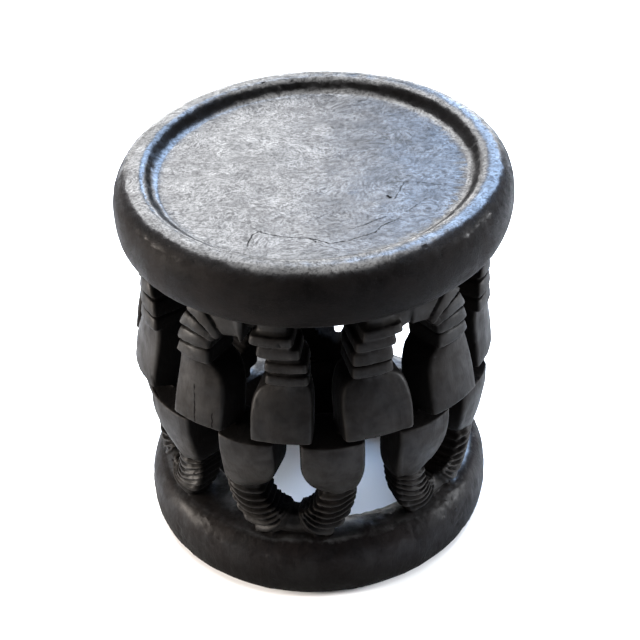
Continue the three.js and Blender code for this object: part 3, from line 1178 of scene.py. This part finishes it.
@dataclass(frozen=True)
class Crack:
    """A crack drawn through places on the surface, in mm."""

    width: float
    places: tuple

    def mask(self, g: Graph, line: Tree, place: object) -> object:
        """Adds the crack's lines and gives its mask.

        Args:
            g: the graph to add to.
            line: the crack line group.
            place: places on the surface.

        Returns:
            The mask.
        """
        found = 0.0
        for a, b in zip(self.places, self.places[1:]):
            way = [MM * (d - c) for c, d in zip(a, b)]
            filled = {"Place": place, "Start": [MM * c for c in a], "Way": way,
                      "Width": MM * self.width}
            node = g.add("ShaderNodeGroup", filled, node_tree=line)
            found = g.math("MAXIMUM", found, node.outputs[0])
        return found


@dataclass(frozen=True)
class BlackWood:
    """Near-black waxed wood: its colours, its shine and its marks."""

    name: str
    dark: tuple
    light: tuple
    # Colour of painted shade: wood turned towards the middle of the log, hollows and the foot.
    inner: tuple
    rough: tuple
    coat_rough: float
    specular: float
    out_gloss: Gloss
    marks_size: float
    marks_share: float
    ripple_size: float
    ripple_share: float
    bump_height: float
    grain: tuple
    crack_size: float
    crack_amount: float
    pit_amount: float
    smear: float
    up_gloss: Gloss = NO_SHINE
    low_gloss: Gloss = NO_SHINE
    # Heights in metres from full painted shade at the foot to none.
    foot_shade: tuple = (-1.0, -0.5)
    broad: float = 0.8
    ripple_wax: float = 0.0
    mottle: float = 0.3
    cracks: tuple = ()


OUTER = (0.30, 0.70)  # facing away from the middle at which wood counts as outer wood; wood turned further in takes painted shade
HOLLOW_SHARE = 0.85  # how far a hollow takes the inner colour, a painted shade
RUBBED_HIGHLIGHT_GAIN, RUBBED_HIGHLIGHT_SHARE = 3.0, 0.3  # how much lighter raised edges are, partly worn wood and partly a painted highlight, and how far it shows
CRACK_COLOUR = (0.0008, 0.0007, 0.0006, 1)
SPOT_ROUGH, DULL_ROUGH = 0.06, 0.3  # roughness added by fine spots and where the wax is gone
MARKS_MIDDLE = 0.25  # middle height of the tool marks
BLOTCH_SIZE, SMEAR_SIZE, BROAD_SIZE, TORN_SIZE = 26.0, 46.0, 8.0, 190.0  # noise scales
TORN_REACH = 0.005  # metres by which drawn cracks wander
FAULT_HEIGHT = -0.8


class WoodNodes:
    """The nodes of one finish."""

    def __init__(self, wood: BlackWood, tree: Tree, groups: dict) -> None:
        """Adds the shared groups and the masks that follow from them.

        Args:
            wood: the finish.
            tree: an empty node tree.
            groups: the shared node groups by name.
        """
        self.wood, self.groups = wood, groups
        self.g = g = Graph(tree)
        coords = g.add("ShaderNodeTexCoord")
        self.place = coords.outputs["Object"]
        along = g.vector("MULTIPLY", self.place, wood.grain)
        self.marks = self.group("marks", along, Size=wood.marks_size)
        self.ripples = self.group("ripples", along, Size=wood.ripple_size)
        cracks = self.group("cracks", along, Size=wood.crack_size, Amount=wood.crack_amount)
        pits = self.group("pits", self.place, Amount=wood.pit_amount)
        self.wear_and_shade = self.group("wear_and_shade", self.place)
        self.facing = self.group("facing", self.place, Surface=coords.outputs["Normal"])
        self.fault = g.math("MAXIMUM", cracks["Mask"], pits["Mask"])
        torn = g.shaken(self.place, TORN_SIZE, detail=6.0, rough=0.7, reach=TORN_REACH)
        for crack in wood.cracks:
            self.fault = g.math("MAXIMUM", self.fault, crack.mask(g, groups["line"], torn))
        # Painted shade: wood that faces neither up nor away from the middle, and hollows, take the
        # inner colour, and so does the foot, by height; the same masks keep the wax off there.
        top = g.ramp(self.facing["Up"], wood.up_gloss.start, wood.up_gloss.full)
        outer = g.math("MAXIMUM", g.ramp(self.facing["Out"], *OUTER), top)
        hollow = g.times(self.wear_and_shade["HollowShade"], HOLLOW_SHARE)
        self.foot = g.ramp(self.facing["Height"], *wood.foot_shade)
        self.kept = g.times(outer, g.rest(hollow))
        self.sound = g.times(self.kept, g.rest(self.fault))
        blotch = g.noise(self.place, BLOTCH_SIZE, detail=5.0, rough=0.62, twist=0.3)
        self.blotch = g.ramp(blotch, 0.34, 0.66)

    def group(self, name: str, place: object, **values: object) -> object:
        """Adds a shared group, sets its inputs and gives its outputs."""
        filled = {"Place": place, **values}
        return self.g.add("ShaderNodeGroup", filled, node_tree=self.groups[name]).outputs

    def colour(self) -> object:
        """Blotched black wood, painted shade inside and at the foot, edges lighter (worn and
        painted highlight) and dark in cracks.

        Returns:
            The colour.
        """
        g, wood = self.g, self.wood
        colour = g.mix(self.blotch, (*wood.dark, 1), (*wood.light, 1))
        # Painted shade: the inner colour on wood turned towards the middle, in hollows and at the
        # foot.
        colour = g.mix(g.times(self.kept, self.foot), (*wood.inner, 1), colour)
        # Lighter raised edges: partly worn wood, partly a painted highlight.
        rubbed_highlight = g.times(self.wear_and_shade["RubbedAndHighlight"], self.kept, RUBBED_HIGHLIGHT_SHARE)
        colour = g.mix(rubbed_highlight, colour, (*[RUBBED_HIGHLIGHT_GAIN * c for c in wood.light], 1))
        return g.mix(self.fault, colour, CRACK_COLOUR)

    def rough(self) -> object:
        """Roughness, higher on fine spots and where the wax is gone.

        Returns:
            The roughness.
        """
        rough = self.g.ramp(self.blotch, 0.0, 1.0, *self.wood.rough)
        rough = self.g.math("MULTIPLY_ADD", self.marks["Spots"], SPOT_ROUGH, rough)
        dull = self.g.rest(self.sound)
        return self.g.math("MULTIPLY_ADD", dull, DULL_ROUGH, rough)

    def wax(self) -> object:
        """How much wax shines: most where the wood faces up or out, in patches and strokes.

        Returns:
            The coat's weight.
        """
        g, wood = self.g, self.wood
        mottled = g.math("SUBTRACT", self.marks["Height"], MARKS_MIDDLE)
        mottled = g.math("MULTIPLY_ADD", mottled, wood.mottle, self.facing["Up"])
        shine = 0.0
        for facing, gloss in ((mottled, wood.up_gloss), (self.facing["Out"], wood.out_gloss),
                              (self.facing["Up"], wood.low_gloss)):
            share = g.ramp(facing, gloss.start, gloss.full, 0.0, gloss.amount)
            shine = g.math("MAXIMUM", share, shine)
        smear = g.noise(self.place, SMEAR_SIZE, detail=5.0, rough=0.65, twist=0.4)
        smear = g.ramp(smear, 0.30, 0.70, wood.smear, 1.0)
        broad = g.noise(self.place, BROAD_SIZE, detail=4.0, rough=0.6, twist=0.8)
        broad = g.ramp(broad, 0.36, 0.60, wood.broad, 1.0)
        strokes = g.math("MULTIPLY_ADD", self.ripples["Stroke"], wood.ripple_wax,
                         1.0 - wood.ripple_wax)
        return g.times(shine, self.sound, smear, self.foot, broad, strokes)

    def height(self) -> object:
        """Height of the tool marks, ripples, cracks and pits.

        Returns:
            The height.
        """
        height = self.g.times(self.marks["Height"], self.wood.marks_share)
        height = self.g.math("MULTIPLY_ADD", self.ripples["Height"], self.wood.ripple_share, height)
        return self.g.math("MULTIPLY_ADD", self.fault, FAULT_HEIGHT, height)

    def shade(self) -> None:
        """Joins everything in one shader."""
        g, wood = self.g, self.wood
        bump = {"Distance": wood.bump_height, "Strength": 1.0, "Height": self.height()}
        shader = {"Base Color": self.colour(), "Roughness": self.rough(),
                  "Coat Weight": self.wax(), "Normal": g.add("ShaderNodeBump", bump).outputs[0],
                  "Specular IOR Level": wood.specular, "Coat Roughness": wood.coat_rough}
        shader = g.add("ShaderNodeBsdfPrincipled", shader)
        g.add("ShaderNodeOutputMaterial", {"Surface": shader.outputs[0]})


SEAT_CRACKS = (
    Crack(0.95, ((-65, -125, 408), (-61, -107, 408), (-54, -100, 407.5), (-45, -106, 407.5),
                 (-30, -112, 407.5), (-7, -116, 407.7), (0, -123, 407.7))),
    Crack(0.95, ((-7, -116, 407.7), (13, -127, 407.7), (29, -124, 407.6), (46, -116, 407.7),
                 (56, -112, 407.6), (63, -101, 407.6), (80, -90, 407.5))),
    Crack(0.8, ((35, -103, 407.6), (47, -98, 407.6), (57, -91, 407.6), (68, -85, 407.5))),
    Crack(0.5, ((-6, -87, 407.6), (14, -74, 407.4), (30, -75, 407.4))),
    Crack(0.75, ((78, -55, 407.6), (90, -25, 407.5), (105, -27, 407.5), (125, -34, 407.5))),
    Crack(0.6, ((88, -79, 407.4), (109, -56, 407.4))),
    Crack(2.4, ((72, -49, 407.5), (74, -52, 407.5))),
)
BELL_CRACKS = (
    Crack(1.1, ((-126.3, -141.7, 259.7), (-126.9, -146.8, 243.7), (-128, -152.1, 221.5))),
    Crack(1.2, ((-110, -160.4, 236), (-111, -163, 221))),
)
# Each finish's inner colour is painted shade; the base also darkens towards the floor as painted
# shade.
FINISHES = {
    Zone.SEAT: BlackWood(
        "waxed_seat", dark=(0.0017, 0.0014, 0.0013), light=(0.0050, 0.0042, 0.0039),
        inner=(0.0020, 0.0018, 0.0017), rough=(0.40, 0.55), coat_rough=0.26, specular=0.015,
        up_gloss=Gloss(0.56, 0.93, 1.0), out_gloss=Gloss(0.5, 1.0, 0.005),
        low_gloss=Gloss(-0.40, -0.90, 0.25), mottle=0.35, marks_size=95.0, marks_share=0.35,
        ripple_size=640.0, ripple_share=0.8, bump_height=0.0012, grain=(0.65, 0.9, 0.8),
        crack_size=9.0, crack_amount=-0.10, pit_amount=0.25, smear=0.66, broad=0.78,
        ripple_wax=0.66, cracks=SEAT_CRACKS),
    Zone.BELLS: BlackWood(
        "carved_bells", dark=(0.0018, 0.0015, 0.0013), light=(0.0058, 0.0050, 0.0043),
        inner=(0.0012, 0.0010, 0.0009), rough=(0.60, 0.75), coat_rough=0.38, specular=0.04,
        out_gloss=Gloss(0.45, 0.98, 0.15), smear=0.2, marks_size=120.0, marks_share=0.7,
        ripple_size=200.0, ripple_share=0.1, bump_height=0.0007, grain=(1, 1, 0.12),
        crack_size=22.0, crack_amount=0.22, pit_amount=0.22, cracks=BELL_CRACKS),
    Zone.BASE: BlackWood(
        "carved_base", dark=(0.0009, 0.0006, 0.0006), light=(0.0028, 0.0019, 0.0017),
        inner=(0.0014, 0.0011, 0.0010), rough=(0.58, 0.72), coat_rough=0.33, specular=0.04,
        up_gloss=Gloss(0.78, 0.97, 0.95), out_gloss=Gloss(0.50, 0.98, 0.14), smear=0.1,
        marks_size=100.0, marks_share=0.8, ripple_size=170.0, ripple_share=0.3,
        bump_height=0.0012, grain=(1, 1, 0.4), crack_size=12.0, crack_amount=0.22,
        pit_amount=0.30, foot_shade=(0.004, 0.060)),
}


@dataclass
class Stool:
    """The whole stool as one carved piece."""

    seat: Seat = field(default_factory=Seat)
    base: RingBase = field(default_factory=RingBase)
    keel: Keel = field(default_factory=Keel)
    carving: Carving = field(default_factory=Carving)

    def build(self) -> bpy.types.Object:
        """Builds the mesh, sets it in place of the CAD solid and dresses it.

        Returns:
            The stool.
        """
        shells = [self.seat.shell(), self.base.shell()]
        shells += UPPER_BELLS.shells() + LOWER_BELLS.shells() + [self.keel.shell()]
        LOG.info("stool: %d shells", len(shells))
        skin = self.carving.fuse(shells)
        LOG.info("stool: skin of %d points", len(skin.vertices))
        self.carving.carve(skin)
        mesh = self.carving.thin(skin)
        self.carving.edges(mesh)
        mesh.shade_smooth()
        mesh.name = "carved_stool"
        piece = put("carved_stool", mesh)
        self.dress(mesh)
        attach(piece, "root")
        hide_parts("stool")
        mesh.calc_loop_triangles()
        LOG.info("stool: %d triangles", len(mesh.loop_triangles))
        return piece

    @staticmethod
    def dress(mesh: Mesh) -> None:
        """Gives each zone its finish.

        Args:
            mesh: the stool's mesh.
        """
        groups = {"marks": tool_marks_group(), "ripples": ripples_group(),
                  "cracks": cracks_group(), "pits": pits_group(), "wear_and_shade": wear_and_shade_group(),
                  "facing": facing_group(), "line": crack_line_group()}
        for zone in Zone:
            made = bpy.data.materials.new(FINISHES[zone].name)
            made.use_nodes = True
            made.node_tree.nodes.clear()
            WoodNodes(FINISHES[zone], made.node_tree, groups).shade()
            mesh.materials.append(made)
        z = read(mesh.polygons, "center", 3)[:, 2] / MM
        zone = np.full(len(z), Zone.BASE.value, np.int32)
        zone[z > BASE_TOP] = Zone.BELLS.value
        zone[z > SEAT_UNDER] = Zone.SEAT.value
        mesh.polygons.foreach_set("material_index", zone)


@dataclass(frozen=True)
class Softbox:
    """One soft studio light."""

    name: str
    place: tuple
    aim: tuple
    size: tuple
    power: float
    colour: tuple = (1.0, 1.0, 1.0)

    def build(self) -> bpy.types.Object:
        """Makes the light.

        Returns:
            The light.
        """
        data = bpy.data.lights.new(self.name, "AREA")
        data.shape = "RECTANGLE"
        data.size, data.size_y = self.size
        data.energy = self.power
        data.color = self.colour
        lamp = put(self.name, data)
        lamp.location = self.place
        way = Vector(self.aim) - Vector(self.place)
        lamp.rotation_euler = way.to_track_quat("-Z", "Y").to_euler()
        return lamp


@dataclass
class Studio:
    """Pale floor, soft lights and the camera."""

    world: tuple = (0.26, 0.27, 0.30)
    lights: tuple = (
        Softbox("back_left", (-0.66, 2.1, 2.2), (0, 0, 0.42), (1.7, 1.8), 126.0, (0.97, 0.98, 1.0)),
        Softbox("back_right", (0.99, 1.9, 1.9), (0, 0, 0.42), (1.6, 1.8), 180.0, (0.46, 0.66, 1.0)),
        Softbox("low_back", (0, 2.4, 0.65), (0, 0, 0.0), (3.0, 1.0), 64.0),
        Softbox("left", (-2.2, -0.1, 0.45), (0, 0, 0.25), (1.0, 0.8), 190.0, (1.0, 0.91, 0.82)),
        Softbox("right", (2.3, 0.1, 0.55), (0, 0, 0.2), (1.0, 0.8), 140.0, (0.95, 0.97, 1.0)),
        Softbox("overhead", (0.0, 0.45, 2.8), (0, 0.3, 0), (2.2, 2.7), 165.0),
    )
    floor_half: float = 9.0
    floor_colour: tuple = (0.90, 0.90, 0.90)
    floor_rough: float = 0.9
    floor_specular: float = 0.1
    camera_place: tuple = (0, -1.6862, 1.4649)
    camera_pitch: float = 36.31
    camera_roll: float = -2.78
    lens: float = 112.5
    sensor: float = 36.0

    def build(self) -> None:
        """Builds the studio."""
        self.floor()
        for light in self.lights:
            light.build()
        world = bpy.data.worlds.new("studio")
        world.use_nodes = True
        world.node_tree.nodes["Background"].inputs[0].default_value = (*self.world, 1)
        bpy.context.scene.world = world
        bpy.context.scene.view_settings.view_transform = "Standard"
        self.camera()

    def floor(self) -> None:
        """A wide pale floor."""
        far = self.floor_half
        mesh = bpy.data.meshes.new("floor")
        mesh.from_pydata([(-far, -far, 0), (far, -far, 0), (far, far, 0), (-far, far, 0)], [],
                         [(0, 1, 2, 3)])
        floor = put("floor", mesh)
        pale = bpy.data.materials.new("pale_floor")
        pale.use_nodes = True
        shader = pale.node_tree.nodes["Principled BSDF"]
        shader.inputs["Base Color"].default_value = (*self.floor_colour, 1)
        shader.inputs["Roughness"].default_value = self.floor_rough
        shader.inputs["Specular IOR Level"].default_value = self.floor_specular
        mesh.materials.append(pale)

    def camera(self) -> None:
        """The camera of the photograph: above the seat, looking down, a long lens."""
        pitch, roll = math.radians(self.camera_pitch), math.radians(self.camera_roll)
        ahead = Vector((0, math.cos(pitch), -math.sin(pitch)))
        right = Vector((1, 0, 0))
        up = right.cross(ahead)
        right, up = (right * math.cos(roll) + up * math.sin(roll),
                     up * math.cos(roll) - right * math.sin(roll))
        data = bpy.data.cameras.new("camera")
        data.lens, data.sensor_width = self.lens, self.sensor
        cam = put("camera", data)
        turn = Matrix((right, up, -ahead)).transposed().to_4x4()
        cam.matrix_world = Matrix.Translation(self.camera_place) @ turn
        bpy.context.scene.camera = cam


def main() -> None:
    """Builds the stool and its studio."""
    logging.basicConfig(level=logging.INFO, format="%(message)s")
    Studio().build()
    LOG.info("studio: built")
    Stool().build()
    LOG.info("stool: built")


if __name__ == "__main__":
    main()
